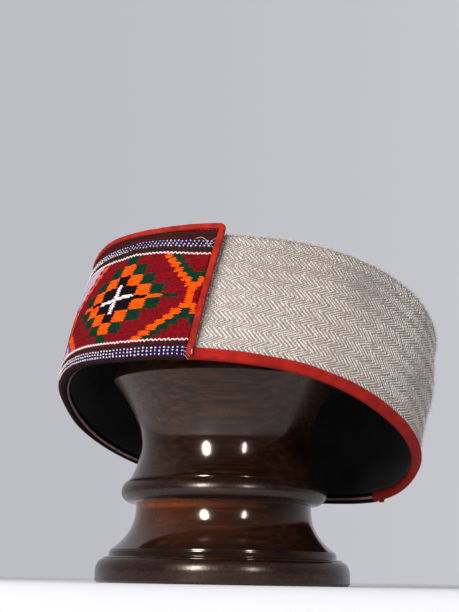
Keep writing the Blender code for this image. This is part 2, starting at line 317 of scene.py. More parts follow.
def flap_point(angle, path, out):
    """A point off the flap's outer face, by its height along the cloth, which passes under the rim."""
    middle = (FLAP_OUT - FLAP_IN) / 2.0
    angle, path = np.broadcast_arrays(angle, path)
    turn = np.clip((FLAP_FOLD - path) / FLAP_FOLD, 0.0, math.pi)
    past = np.maximum(FLAP_FOLD - path - math.pi * FLAP_FOLD, 0.0)
    leaf = path >= FLAP_FOLD
    height = np.where(leaf, path, FLAP_FOLD * (1.0 - np.sin(turn)) + past - out * np.sin(turn))
    face = flap_face(np.maximum(path, 0.0) * FLAP_TOP / CROWN_HEIGHT) + out
    reach = np.where(leaf, face, middle + (FLAP_FOLD + out) * np.cos(turn))
    return wall_point(angle, height, reach)


def surface_normal(angle):
    turn = np.radians(angle - 90.0)
    return np.stack([np.cos(turn), np.sin(turn), np.zeros_like(turn)], axis=-1)


def shoulder_round(height):
    """How far up the wall's rounded shoulder a height is, from 0 to 1, and how far in it lies."""
    share = np.clip((height - (CROWN_HEIGHT - SHOULDER)) / SHOULDER, 0.0, 1.0)
    return share, SHOULDER * (1.0 - np.sqrt(1.0 - share ** 2))


def smooth_noise(x, y, seed, scale):
    """Soft value noise between -1 and 1, for dents and wobbles."""
    size = 64
    table = np.random.default_rng(seed).uniform(-1.0, 1.0, (size, size))
    x, y = x * scale, y * scale
    i, j = np.floor(x).astype(int), np.floor(y).astype(int)
    s, t = x - i, y - j
    s, t = s * s * (3.0 - 2.0 * s), t * t * (3.0 - 2.0 * t)
    a, b = table[i % size, j % size], table[(i + 1) % size, j % size]
    c, d = table[i % size, (j + 1) % size], table[(i + 1) % size, (j + 1) % size]
    return (a * (1 - s) + b * s) * (1 - t) + (c * (1 - s) + d * s) * t


def alternate(number):
    """1 for even numbers and -1 for odd ones."""
    return 1.0 - 2.0 * (number % 2)


# Making meshes and pieces

def new_mesh(name, vertices, faces):
    mesh = bpy.data.meshes.new(name)
    mesh.from_pydata(vertices, [], faces)
    mesh.shade_smooth()
    return mesh


def grid_mesh(name, points, closed=False, pole=False):
    """A mesh from rows of points. Rows run down its outer side, points counterclockwise.
    With a pole, the first row is a single point."""
    rows, columns = points.shape[:2]
    index = np.arange(rows * columns).reshape(rows, columns)
    vertices = points.reshape(-1, 3)
    if pole:
        vertices = vertices[columns - 1:]
        index = np.maximum(index - columns + 1, 0)
    right = np.roll(index, -1, axis=1) if closed else index[:, 1:]
    left = index if closed else index[:, :-1]
    quads = np.stack([left[:-1], left[1:], right[1:], right[:-1]], axis=-1)
    faces = quads[int(pole):].reshape(-1, 4).tolist()
    if pole:
        faces += quads[0, :, :3].tolist()
    return new_mesh(name, vertices.tolist(), faces)


def bodies_mesh(name, points, faces):
    """Many copies of one small body. points holds a row of vertices for each copy."""
    count, size = points.shape[:2]
    starts = np.arange(count)[:, None] * size
    copies = []
    for corners in faces:
        copies += (starts + np.array(corners)).tolist()
    return new_mesh(name, points.reshape(-1, 3).tolist(), copies)


def tube_points(path, normals, width, height):
    """Rings of points round a path. The ring's first axis lies along the surface."""
    tangent = np.gradient(path, axis=0)
    tangent /= np.linalg.norm(tangent, axis=1, keepdims=True)
    across = np.cross(tangent, normals)
    across /= np.linalg.norm(across, axis=1, keepdims=True)
    turn = np.linspace(0.0, 2.0 * math.pi, 6, endpoint=False)[None, :, None]
    ring = (across[:, None, :] * (np.cos(turn) * np.reshape(width, (-1, 1, 1)) / 2.0)
            + normals[:, None, :] * (np.sin(turn) * np.reshape(height, (-1, 1, 1)) / 2.0))
    return path[:, None, :] + ring


def tube_mesh(name, tubes):
    """Closed tubes joined in one mesh, each from an array of rings."""
    vertices = []
    faces = []
    for rings in tubes:
        steps, sides = rings.shape[:2]
        index = len(vertices) + np.arange(steps * sides).reshape(steps, sides)
        after = np.roll(index, -1, axis=1)
        quads = np.stack([index[:-1], after[:-1], after[1:], index[1:]], axis=-1)
        vertices += rings.reshape(-1, 3).tolist()
        faces += quads.reshape(-1, 4).tolist()
        faces += [index[0, ::-1].tolist(), index[-1].tolist()]
    mesh = new_mesh(name, vertices, faces)
    shape = bmesh.new()
    shape.from_mesh(mesh)
    bmesh.ops.recalc_face_normals(shape, faces=shape.faces)
    shape.to_mesh(mesh)
    shape.free()
    return mesh


def link_object(name, data):
    thing = bpy.data.objects.new(name, data)
    bpy.context.scene.collection.objects.link(thing)
    return thing


def add_piece(mesh, material, node, seat=CAP_SEAT):
    """Links a mesh as a piece that rides on the frame and takes its finish from a slot."""
    piece = link_object(mesh.name, mesh)
    mesh.materials.append(material)
    piece.matrix_world = seat
    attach(piece, "root")
    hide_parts(node)
    return piece


def modify(piece, name, kind, **settings):
    modifier = piece.modifiers.new(name, kind)
    for key, value in settings.items():
        setattr(modifier, key, value)


def solidify(piece, thickness):
    modify(piece, "Cloth thickness", "SOLIDIFY", thickness=thickness, offset=-1.0, use_even_offset=True)


def set_colours(mesh, colours, domain):
    attribute = mesh.attributes.new("yarn", "FLOAT_COLOR", domain)
    channels = np.column_stack([colours, np.ones(len(colours))])
    attribute.data.foreach_set("color", channels.astype(np.float32).ravel())


# Materials

def linear(colour):
    """Linear light from an 8-bit screen colour."""
    share = np.asarray(colour, float) / 255.0
    return np.where(share <= 0.04045, share / 12.92, ((share + 0.055) / 1.055) ** 2.4)


def with_alpha(tone):
    """Four channels from a colour or a grey."""
    return (*np.broadcast_to(tone, 3), 1.0)


class Surface:
    """A material's or a world's nodes, with short ways to add to them and to set its shader."""

    def __init__(self, owner, shader, coordinates="Object"):
        owner.use_nodes = True
        self.owner = owner
        self.tree = owner.node_tree
        self.shader = self.tree.nodes[shader]
        self.where = self.node("TexCoord")[coordinates]

    def put(self, socket, value):
        """Gives a socket a value or another node's output."""
        if isinstance(value, bpy.types.NodeSocket):
            self.tree.links.new(value, socket)
        elif socket.type == "RGBA":
            socket.default_value = with_alpha(value)
        else:
            socket.default_value = value

    def set(self, name, value):
        self.put(self.shader.inputs[name], value)

    def node(self, kind, inputs=None, **settings):
        """Adds a node, with values or other nodes' outputs for its inputs, and gives its outputs."""
        node = self.tree.nodes.new("ShaderNode" + kind)
        for key, value in settings.items():
            setattr(node, key, value)
        for key, value in (inputs or {}).items():
            self.put(node.inputs[key], value)
        return node.outputs

    def calculate(self, operation, *values):
        return self.node("Math", dict(enumerate(values)), operation=operation)[0]

    def times(self, first, second):
        return self.calculate("MULTIPLY", first, second)

    def rise(self, value, start, end, low=0.0, high=1.0):
        """Goes from low to high as the value goes from start to end."""
        return self.node("MapRange", {"Value": value, "From Min": start, "From Max": end,
                                      "To Min": low, "To Max": high})["Result"]

    def along(self, way):
        """How far a point lies in a direction."""
        return self.node("VectorMath", {0: self.where, 1: way}, operation="DOT_PRODUCT")["Value"]

    def mapped(self, where, **changes):
        return self.node("Mapping", {"Vector": where, **changes})["Vector"]

    def noise(self, scale, detail=3.0, roughness=0.55, where=None):
        return self.node("TexNoise", {"Vector": self.where if where is None else where, "Scale": scale,
                                      "Detail": detail, "Roughness": roughness})["Fac"]

    def yarn(self):
        """The colours that a mesh carries."""
        return self.node("Attribute", attribute_name="yarn")["Color"]

    def mix(self, share, first, second, blend="MIX"):
        return self.node("Mix", {0: share, 6: first, 7: second}, data_type="RGBA", blend_type=blend)[2]

    def tint(self, first, second):
        return self.mix(1.0, first, second, "MULTIPLY")

    def ramp(self, value, *stops):
        """A colour ramp, from places and colours or greys."""
        node = self.tree.nodes.new("ShaderNodeValToRGB")
        self.put(node.inputs["Fac"], value)
        elements = node.color_ramp.elements
        while len(elements) < len(stops):
            elements.new(0.5)
        for element, (place, tone) in zip(elements, stops):
            element.position = place
            element.color = with_alpha(tone)
        return node.outputs["Color"]

    def finish(self, colour, height, distance, strength=1.0):
        """Sets the shader's colour and bump, and gives the material."""
        bump = self.node("Bump", {"Height": height, "Distance": distance, "Strength": strength})
        self.set("Normal", bump["Normal"])
        self.set("Base Color", colour)
        return self.owner


def new_material(name, **values):
    """A Principled material. Keyword names are its sockets, with _ for spaces."""
    surface = Surface(bpy.data.materials.new(name), "Principled BSDF")
    for key, value in values.items():
        surface.set(key.replace("_", " "), value)
    return surface


def woven_material():
    """Wool yarns in the colours of the chart, with a fibrous face."""
    wool = new_material("woven_wool", Roughness=0.9, Specular_IOR_Level=0.1)
    fibres = wool.noise(2600.0, where=wool.mapped(wool.where, Scale=(1.0, 1.0, 2.6)))
    tone = wool.ramp(fibres, (0.28, 0.62), (0.72, 1.22))
    patches = wool.ramp(wool.noise(260.0, 2.0), (0.3, (0.86, 0.84, 0.84)), (0.7, 1.08))
    return wool.finish(wool.tint(wool.tint(wool.yarn(), tone), patches), fibres, 0.00035)


def yarn_material(name, colour):
    """Soft twisted yarn of one colour."""
    yarn = new_material(name, Roughness=0.8, Sheen_Weight=0.3, Sheen_Roughness=0.5,
                        Specular_IOR_Level=0.25)
    fibres = yarn.noise(2400.0)
    base = linear(colour)
    tone = yarn.ramp(fibres, (0.3, base * 0.68), (0.7, np.minimum(base * 1.12, 1.0)))
    return yarn.finish(tone, fibres, 0.0002)


def tweed_material():
    """Wool tweed: a mottled ground of two tones under a felted surface."""
    tweed = new_material("tweed_ground", Roughness=0.9, Sheen_Weight=0.15, Sheen_Roughness=0.45,
                         Specular_IOR_Level=0.15)
    fibres = tweed.noise(2200.0, 4.0, 0.65)
    ground = tweed.ramp(fibres, (0.3, linear((122, 112, 105))), (0.7, linear((176, 166, 157))))
    mottle = tweed.ramp(tweed.noise(420.0, 2.0), (0.3, (0.85, 0.84, 0.83)), (0.7, (1.06, 1.06, 1.05)))
    return tweed.finish(tweed.tint(ground, mottle), fibres, 0.0004)


def float_material():
    """Cream yarn of the tweed's herringbone, each float a little lighter or darker."""
    cream = new_material("cream_yarn", Roughness=0.9, Sheen_Weight=0.08, Sheen_Roughness=0.45,
                         Specular_IOR_Level=0.15)
    fibres = cream.noise(2600.0, 4.0, 0.65)
    tone = cream.ramp(fibres, (0.28, (0.74, 0.72, 0.7)), (0.72, 1.08))
    return cream.finish(cream.tint(cream.yarn(), tone), fibres, 0.0003)


def red_cloth_material(name, dark, light):
    """Plain red cotton, cut on the bias, with a fine weave and worn patches."""
    cotton = new_material(name, Roughness=0.75, Specular_IOR_Level=0.22)
    weave = []
    for turn in (0.7, -0.7):
        turned = cotton.mapped(cotton.where, Rotation=(turn, turn, turn))
        weave.append(cotton.node("TexWave", {"Vector": turned, "Scale": 700.0, "Distortion": 1.5,
                                             "Detail": 2.0})["Fac"])
    crossed = cotton.times(*weave)
    colour = cotton.ramp(cotton.noise(180.0), (0.32, linear(dark)), (0.68, linear(light)))
    shade = cotton.ramp(crossed, (0.0, (0.8, 0.78, 0.78)), (0.6, 1.05))
    return cotton.finish(cotton.tint(colour, shade), crossed, 0.0002)


def lining_material():
    """Black cotton lining with a faint sheen and a fine plain weave."""
    cotton = new_material("black_lining", Roughness=0.7, Sheen_Weight=0.05, Sheen_Roughness=0.5,
                          Specular_IOR_Level=0.25)
    tone = cotton.ramp(cotton.noise(70.0), (0.3, linear((28, 27, 26))), (0.7, linear((44, 42, 40))))
    return cotton.finish(tone, cotton.noise(2600.0, 2.0), 0.0002)


def cracked(wood, colour, height):
    """The colour with hairline cracks, upright in the lower cove."""
    parts = wood.node("SeparateXYZ", {"Vector": wood.where})
    turn = wood.calculate("ARCTAN2", parts["Y"], parts["X"])
    wander = wood.rise(wood.noise(160.0), 0.0, 1.0, -0.02, 0.02)
    turn = wood.calculate("ADD", turn, wander)
    for degrees, half_width, middle, half_length in CRACKS:
        across = wood.calculate("COMPARE", turn, math.radians(degrees), half_width)
        along = wood.calculate("COMPARE", height, middle, half_length)
        mask = wood.times(wood.times(across, along), 0.75)
        colour = wood.mix(mask, colour, linear((14, 8, 6)))
    return colour


def wood_material():
    """Dark polished wood with its grain lying level, worn duller on the foot and the bead."""
    wood = new_material("polished_wood", Specular_IOR_Level=0.5, Specular_Tint=(1.0, 0.82, 0.7),
                        Coat_Weight=0.22, Coat_Roughness=0.17)
    turned = wood.mapped(wood.where, Rotation=(0.0, 0.0, -math.radians(CAMERA_SIDE)))
    drawn = wood.mapped(turned, Scale=(0.05, 0.6, 1.0))
    grain = wood.noise(520.0, 5.0, 0.62, drawn)
    clouds = wood.noise(60.0, where=drawn)
    streaks = wood.ramp(grain, (0.34, linear((20, 11, 8))), (0.56, linear((35, 19, 12))),
                        (0.76, linear((60, 33, 19))))
    stained = wood.ramp(clouds, (0.34, (0.5, 0.47, 0.45)), (0.7, (1.3, 1.2, 1.05)))
    colour = wood.tint(streaks, stained)
    height = wood.node("SeparateXYZ", {"Vector": wood.where})["Z"]

    # A warm orange-brown colour on the lower cove, strongest in a band under the bead on its left in the
    # photograph, and lighter brown streaks on the flare
    sided = wood.rise(wood.along((-AWAY[1], AWAY[0], 0.0)), -0.026, 0.030)
    below = wood.calculate("LESS_THAN", height, EMBER_BAND[2])
    band = wood.rise(height, EMBER_BAND[0], EMBER_BAND[1], 0.0, 1.15)
    glow = wood.calculate("MAXIMUM", band, wood.rise(height, 0.017, 0.030, 0.0, 0.13))
    ember = wood.times(wood.times(glow, below), wood.times(sided, clouds))
    flare = wood.rise(height, 0.074, 0.092, 0.0, 0.9)
    streaky = wood.ramp(grain, (0.42, 0.0), (0.7, 0.4))
    colour = wood.mix(wood.times(flare, streaky), colour, linear((112, 66, 38)))
    colour = wood.mix(ember, colour, linear((170, 84, 40)))

    tallest = WORN_HEIGHTS[-1][0]
    stops = [(place / tallest, worn) for place, worn in WORN_HEIGHTS]
    worn = wood.ramp(wood.times(height, 1.0 / tallest), *stops)
    dull = wood.times(worn, wood.noise(700.0, 4.0, 0.7))
    wood.set("Roughness", wood.calculate("ADD", dull, 0.1))
    return wood.finish(cracked(wood, colour, height), grain, 0.00005, 0.4)


# The stand

def cove(neck, neck_height, end, end_height, curve, steps):
    t = np.arange(1, steps + 1) / steps
    return list(zip(neck + (end - neck) * t ** curve, neck_height + (end_height - neck_height) * t))


def arc(middle, height, reach, rise, turns):
    """Points of an ellipse's arc, for a row of angles."""
    return list(zip(middle + reach * np.cos(turns), height + rise * np.sin(turns)))


def quirk(radius, height):
    """A narrow, nearly upright face, whose polished corners catch the light."""
    return [(radius - QUIRK_LEAN, height), (radius, height - QUIRK_HEIGHT)]


def seat_sphere(disk_height):
    """Centre height and radius of the head, which meets the underside of the leaning crown."""
    under = CROWN_HEIGHT + CROWN_SWELL - TWEED - LINING - 2.0 * GAP
    axis = Vector((-math.sin(CAP_LEAN), 0.0, math.cos(CAP_LEAN)))
    reach = Vector(CAP_CENTRE).dot(axis) + under
    a = 1.0 - axis.z ** 2
    b = 2.0 * (reach * axis.z - disk_height)
    c = DISK_RADIUS ** 2 + disk_height ** 2 - reach ** 2
    centre = (-b + math.sqrt(b ** 2 - 4.0 * a * c)) / (2.0 * a)
    return centre, reach - centre * axis.z


def stand_profile():
    """Radius and height of the turned outline, from the top of the head to the foot."""
    quarter = math.pi / 2.0
    cut = math.acos(BEAD_CUT)
    step_top = FOOT_HEIGHT + STEP_HEIGHT
    neck_height = step_top + LOWER_COVE
    bead_height = neck_height + BEAD_BELOW
    bead_top = bead_height + BEAD_ABOVE * math.sin(cut)
    bead_top_radius = LOWER_NECK + BEAD_REACH * BEAD_CUT
    waist_height = bead_top + WAIST_BELOW
    disk_height = waist_height + FLARE_HEIGHT
    centre, radius = seat_sphere(disk_height + DISK_EDGE)
    edge_turn = math.asin((disk_height + DISK_EDGE - centre) / radius)
    flare = cove(WAIST_RADIUS, waist_height, DISK_RADIUS, disk_height, FLARE_CURVE, 28)
    profile = arc(0.0, centre, radius, radius, np.linspace(quarter, edge_turn, 24, endpoint=False))
    profile += [(DISK_RADIUS, disk_height + DISK_EDGE), *reversed(flare), (WAIST_RADIUS, waist_height)]
    profile += cove(WAIST_RADIUS, waist_height, bead_top_radius, bead_top, WAIST_CURVE, 20)
    profile += quirk(bead_top_radius + QUIRK_OUT, bead_top)
    profile += arc(LOWER_NECK, bead_height, BEAD_REACH, BEAD_ABOVE, np.linspace(0.8 * cut, 0.0, 9))
    profile += arc(LOWER_NECK, bead_height, BEAD_REACH, -BEAD_BELOW, np.linspace(0.0, quarter, 13)[1:])
    profile += cove(LOWER_NECK, neck_height, STEP_RADIUS - QUIRK_OUT, step_top, LOWER_CURVE, 24)
    profile += quirk(STEP_RADIUS - QUIRK_OUT + QUIRK_LEAN, step_top)
    profile += quirk(STEP_RADIUS, step_top - QUIRK_HEIGHT - QUIRK_LEAN)
    profile.append((STEP_RADIUS, FOOT_HEIGHT))
    foot = arc(FOOT_RADIUS - FOOT_ROUND, FOOT_MIDDLE, FOOT_ROUND, FOOT_HEIGHT - FOOT_MIDDLE,
               np.linspace(quarter, 0.0, 25))
    radius, height = foot[FOOT_QUIRK - 1]
    profile += foot[:FOOT_QUIRK] + quirk(radius + QUIRK_LEAN, height - QUIRK_LEAN)
    profile += foot[FOOT_QUIRK + 2:]
    return profile + [(FOOT_RADIUS, FOOT_EDGE), (FOOT_RADIUS - FOOT_EDGE, 0.0), (0.0, 0.0)]


def make_stand():
    points = [(radius, 0.0, height) for radius, height in stand_profile()]
    mesh = bpy.data.meshes.new("turned_stand")
    mesh.from_pydata(points, [(i, i + 1) for i in range(len(points) - 1)], [])
    stand = add_piece(mesh, wood_material(), "hat_stand", Matrix.Identity(4))
    modify(stand, "Turned shape", "SCREW", axis="Z", steps=160, render_steps=160, use_smooth_shade=True,
           use_merge_vertices=True, merge_threshold=0.00002)
    modify(stand, "Softened edges", "BEVEL", width=SOFT_EDGE, segments=2, limit_method="ANGLE",
           angle_limit=math.radians(28.0))
    modify(stand, "Flat faces stay flat", "WEIGHTED_NORMAL")


# The crown

def tweed_point(angle, height, out=0.0):
    """A point off the tweed wall, with the soft dents of its open back part."""
    turned = angle % 360.0
    share = np.clip(height / CROWN_HEIGHT, 0.0, 1.0)
    open_part = np.clip((DENT_SPAN - np.abs(turned - 180.0)) / 12.0, 0.0, 1.0)
    dents = DENT * smooth_noise(turned / 360.0, share * 0.35, 5, 16.0)
    return wall_point(angle, height, out + open_part * np.sin(math.pi * share) ** 0.7 * dents)


def round_angles(count):
    return np.linspace(-180.0, 180.0, count, endpoint=False)


def disc_rows(angles, rings, drop):
    """Rows of points from the middle of the crown's top out to its seam."""
    return [top_point(angles, radius, drop) for radius in np.linspace(0.0, TOP_EDGE, rings + 1)]


def make_crown_side(material):
    angles = round_angles(360)
    edge = CROWN_RADIUS - SHOULDER
    rows = [polar(angles, edge - TOP_SEAM, wall_height(angles, CROWN_HEIGHT))]
    for turn in np.linspace(math.pi / 2.0, 0.0, 8, endpoint=False):
        level = wall_height(angles, CROWN_HEIGHT - SHOULDER * (1.0 - math.sin(turn)))
        rows.append(polar(angles, edge + SHOULDER * math.cos(turn), level))
    for height in np.linspace(CROWN_HEIGHT - SHOULDER, WALL_HEM, 44):
        rows.append(tweed_point(angles, height))
    mesh = grid_mesh("tweed_side", np.array(rows), closed=True)
    solidify(add_piece(mesh, material, "crown_side"), TWEED)


def make_crown_top(material):
    rows = disc_rows(round_angles(180), 40, 0.0)
    mesh = grid_mesh("tweed_top", np.array(rows), closed=True, pole=True)
    solidify(add_piece(mesh, material, "crown_top"), TWEED)


def herringbone(width, height):
    """The cream floats that fill a flat area: columns along, up, direction in degrees and width."""
    floats = []
    base = 0.0
    row = 0
    while base < height:
        tall, slope, way, fill = HERRINGBONE[row % 2]
        turn = math.radians(slope)
        run = tall / math.tan(turn)
        count = round(tall / math.sin(turn) / FLOAT_SPACING)
        starts = np.arange(-run, width + run, TWILL_PITCH)
        starts = starts + RANDOM.normal(0.0, 0.00018, len(starts))
        for k in range(count):
            share = (k + 0.5) / count
            along = starts + way * run * (share - 0.5)
            rest = (base + share * tall, way * (slope + FLOAT_TILT), fill * TWILL_PITCH * math.sin(turn))
            floats.append(np.column_stack([along, np.tile(rest, (len(along), 1))]))
        base += tall
        row += 1
    floats = np.concatenate(floats)
    return floats[(floats[:, 0] > 0.0) & (floats[:, 0] < width) & (floats[:, 1] < height)]


def float_bodies(name, floats, place, patches=()):
    """Lozenge floats. place turns flat positions and a rise into points."""
    count = len(floats)
    centres = floats[:, :2]
    turn = np.radians(floats[:, 2] + RANDOM.normal(0.0, 7.0, count))
    length = FLOAT_LENGTH * RANDOM.uniform(0.8, 1.25, count) / 2.0
    width = floats[:, 3] * RANDOM.uniform(0.65, 1.3, count) / 2.0
    half_long = np.stack([np.cos(turn), np.sin(turn)], axis=1) * length[:, None]
    half_wide = np.stack([-np.sin(turn), np.cos(turn)], axis=1) * width[:, None]
    flat = np.repeat(centres[:, None, :], 6, axis=1)
    flat[:, 0] -= half_long
    flat[:, 5] += half_long
    flat[:, 1] += half_wide
    flat[:, 3] -= half_wide
    rise = np.tile(FLOAT_LIFTS, (count, 1))
    rise[:, 2] = FLOAT_RISE * RANDOM.uniform(0.8, 1.15, count)
    mesh = bodies_mesh(name, place(flat[..., 0], flat[..., 1], rise), FLOAT_FACES)
    patch = smooth_noise(centres[:, 0], centres[:, 1], 51, 38.0)
    warm = RANDOM.uniform(-0.02, 0.02, count) + 0.02 * patch
    light = RANDOM.normal(1.0, 0.12, count) * (0.97 + 0.2 * patch)
    # The patches paint shade and light on the floats, such as the piping's shadow beside the flap.
    for along, up, reach, tone, stretch in patches:
        distance = np.hypot(centres[:, 0] - along, (centres[:, 1] - up) / stretch)
        light = light * (1.0 + tone * np.exp(-(distance / reach) ** 2))
    warmth = np.stack([1.0 + warm, np.ones(count), 1.0 - warm], axis=1)
    colours = linear(FLOAT_CREAM)[None, :] * light[:, None] * warmth
    set_colours(mesh, np.repeat(np.clip(colours, 0.0, 1.0), 6, axis=0), "POINT")
    return mesh


def make_side_weave(material):
    width = math.radians(TWEED_SPAN) * RIM_RADIUS
    base = BINDING_OUTER - 0.002
    height = CROWN_HEIGHT - SHOULDER * 0.3 - base

    def place(along, up, rise):
        sway = smooth_noise(along, up, 61, 45.0)
        lift = smooth_noise(along, up, 62, 38.0)
        angle = TWEED_START + (along + ROW_SWAY * sway) / width * TWEED_SPAN
        level = base + up + ROW_SWAY * lift * np.sin(math.pi * up / height)
        return tweed_point(angle, level, rise - shoulder_round(level)[1])

    # The side's floats get painted shade and light from the patches.
    mesh = float_bodies("side_weave", herringbone(width, height), place, PAINTED_SHADE_AND_LIGHT_PATCHES)
    add_piece(mesh, material, "crown_side")


def make_top_weave(material):
    reach = TOP_EDGE + TOP_SEAM
    floats = herringbone(2.0 * reach, 2.0 * reach)
    floats[:, :2] -= reach
    floats = floats[np.hypot(floats[:, 0], floats[:, 1]) < reach]

    def place(along, up, rise):
        return top_point(np.degrees(np.arctan2(up, along)) + 90.0, np.hypot(along, up), -rise)

    add_piece(float_bodies("top_weave", floats, place), material, "crown_top")


def make_lining(material):
    flat = CROWN_RADIUS - LINING_SKIN - LINING_CORNER
    angles = round_angles(360)
    rows = disc_rows(angles, 30, LINING_SKIN)
    for turn in np.radians((90.0, 60.0, 30.0, 0.0)):
        drop = LINING_SKIN + LINING_CORNER * (1.0 - math.sin(turn))
        level = wall_height(angles, CROWN_HEIGHT) - drop
        rows.append(polar(angles, flat + LINING_CORNER * math.cos(turn), level))
    behind_flap = np.abs(angles) <= FLAP_END + length_to_angle(GAP)
    hem = np.where(behind_flap, FLAP_FOLD + FLAP_LIP + GAP, BINDING_INNER + GAP)
    top = CROWN_HEIGHT - LINING_SKIN - LINING_CORNER
    for share in np.linspace(0.0, 1.0, 40)[1:]:
        folds = np.maximum(smooth_noise(angles / 360.0 + 0.5 + share * 0.02, share * 0.16, 9, 44.0), 0.0)
        inward = LINING_SKIN + LINING_FOLD * folds * math.sin(math.pi * share) ** 0.5
        rows.append(wall_point(angles, top + (hem - top) * share, -inward))
    mesh = grid_mesh("cap_lining", np.array(rows), closed=True, pole=True)
    solidify(add_piece(mesh, material, "lining"), LINING)


def make_fuzz(material):
    """Short wool fibres that stand off the tweed, most along the crown's upper edge."""
    on_edge = RANDOM.uniform(0.0, 1.0, FIBRES) < 0.5
    angle = TWEED_START + 1.0 + RANDOM.uniform(0.0, 1.0, FIBRES) * (TWEED_SPAN - 2.0)
    height = np.where(on_edge, CROWN_HEIGHT - RANDOM.uniform(0.0, SHOULDER, FIBRES),
                      RANDOM.uniform(BINDING_OUTER, CROWN_HEIGHT, FIBRES))
    shoulder, inward = shoulder_round(height)
    root = tweed_point(angle, height, 0.0003 - inward)
    upward = np.array([0.0, 0.0, 1.0]) * shoulder[:, None]
    normal = surface_normal(angle) * (1.0 - shoulder[:, None]) + upward
    lie = RANDOM.normal(0.0, 1.0, (FIBRES, 3))
    length = RANDOM.uniform(0.0006, 0.0026, FIBRES)
    way = normal * 0.55 + lie * 0.6
    way /= np.linalg.norm(way, axis=1, keepdims=True)
    bend = RANDOM.normal(0.0, 0.35, (FIBRES, 3))
    knee = root + way * (length * 0.55)[:, None]
    tip = knee + (way + bend) * (length * 0.45)[:, None]
    side = np.cross(way, lie)
    side /= np.linalg.norm(side, axis=1, keepdims=True)
    corners = (0.0, side * FIBRE_THICK, np.cross(way, side) * FIBRE_THICK)
    points = np.stack([end + corner for end in (root, knee) for corner in corners] + [tip], axis=1)
    faces = ((0, 2, 1), (0, 1, 4, 3), (1, 2, 5, 4), (2, 0, 3, 5), (3, 4, 6), (4, 5, 6), (5, 3, 6))
    add_piece(bodies_mesh("tweed_fuzz", points, faces), material, "crown_side")


# The woven flap

def border_drift(angle, height):
    """How far the cloth's rows have moved up at an angle, for heights in millimetres."""
    angles, rises = zip(*BORDER_DRIFT)
    return np.interp(angle, angles, rises, left=0.0) * np.clip(height / WHITE_LINES[1], 0.0, 1.0) ** 2


def chart(angle, up, pick):
    """Names of the yarns that show, at angles round the cap and heights in millimetres.
    pick counts the rows of weft, whose ends make the ragged edges of the blocks."""
    names = np.full(angle.shape, "maroon", dtype="<U8")
    along = angle * MM_PER_DEGREE
    skew = SKEW * np.clip((SKEW_ANGLE * MM_PER_DEGREE - along) / SKEW_FADE, 0.0, 1.0)
    up = up - border_drift(angle, up)
    across = along - MOTIF_ANGLE * MM_PER_DEGREE
    droop = ROW_DROOP * np.clip(across, -MOTIF_HALF_PERIOD, 0.0) ** 2
    level = up - MOTIF_MIDDLE + droop
    across = across - skew * level + TOOTH * alternate(pick)
    period = 2.0 * MOTIF_HALF_PERIOD
    repeat = np.floor(across / period + 0.5)
    x = across - repeat * period
    crossing = np.where(x > 0.0, repeat, repeat - 1.0)
    pale = crossing % 2 != 0

    # Frames: an upright at each crossing, and stepped diagonals from its ends to the white lines
    distance = np.abs(x)
    height = np.abs(level)
    rise = (FIELD_RISE - UPRIGHT) / FRAME_STEPS
    stair = np.floor((height - UPRIGHT) / rise)
    middle = MOTIF_HALF_PERIOD - (stair + 0.5) * FRAME_RUN / FRAME_STEPS
    beside = height > UPRIGHT
    beyond = distance - middle - FRAME_WIDTH / 2.0
    outer = beside & (beyond > 0.0)
    edge = outer & (beyond < np.where(pale, EDGE_WIDTH * PALE_EDGE_SHARE, EDGE_WIDTH))
    names[outer & pale] = "pale"
    names[edge & pale] = "violet"
    names[edge & ~pale] = "green"
    names[beside & (np.abs(distance - middle) < FRAME_WIDTH / 2.0)] = "orange"
    names[~beside & (distance > MOTIF_HALF_PERIOD - UPRIGHT_WIDTH / 2.0)] = "orange"

    # Diamond: blocks by their distance from the middle, counted in rows and columns
    block = np.where(x < 0.0, BLOCK_WIDTHS[0], BLOCK_WIDTHS[1])
    thin = THIN_ROW / 2.0
    row = np.where(height < thin, 0.0, 1.0 + np.floor((height - thin) / BLOCK_HEIGHT))
    count = np.abs(np.round(x / block)) + row
    names[count <= 2] = "black"
    names[count == 3] = "orange"
    names[count == 4] = "green"
    arm = (np.abs(level - ARM_SLOPE * x) < thin * ARM_THICK) & (distance < CROSS_REACH * block)
    stem = (distance < STEM_THICK) & (height < CROSS_REACH * BLOCK_HEIGHT)
    names[arm | stem] = "white"

    outside = (up < WHITE_LINES[0]) | (up > WHITE_LINES[1])
    for lower_edge, yarn in BORDER_STRIPES:
        names[outside & (up >= lower_edge)] = yarn
    return names


def make_front_flap():
    top = FLAP_TOP - PIPING_WIDTH - GAP
    bottom = FLAP_FOLD - math.pi * FLAP_FOLD - FLAP_LIP
    columns = round(FLAP_LENGTH / THREADS)
    rows = round((top - bottom) / PICK)
    angles = np.linspace(-FLAP_END, FLAP_END, columns + 1)[None, :]
    paths = np.linspace(top, bottom, rows + 1)[:, None]
    i = np.arange(columns + 1)[None, :]
    j = np.arange(rows + 1)[:, None]
    relief = THREAD_RELIEF * alternate(i + j) + PICK_RELIEF * alternate(j)
    relief = relief + CLOTH_WAVE * smooth_noise(angles / 360.0, paths * 4.0, 3, 26.0)
    mesh = grid_mesh("woven_flap", flap_point(angles, paths, relief))
    flap = add_piece(mesh, woven_material(), "front_flap")

    middle_angle = (angles[:, 1:] + angles[:, :-1]) / 2.0
    middle_path = (paths[1:] + paths[:-1]) / 2.0 * 1000.0
    names = chart(*np.broadcast_arrays(middle_angle, middle_path, j[:-1]))
    colours = np.zeros((rows, columns, 3))
    for name, colour in YARNS.items():
        colours[names == name] = linear(colour)
    shade = RANDOM.normal(1.0, 0.08, (rows, 1, 1)) * RANDOM.normal(1.0, 0.17, (rows, columns, 1))
    tint = RANDOM.normal(1.0, 0.05, (rows, columns, 3))
    colours = np.clip(colours * shade * tint, 0.0, 1.0)
    set_colours(mesh, np.repeat(colours.reshape(-1, 3), 4, axis=0), "CORNER")
    solidify(flap, FLAP_CLOTH)


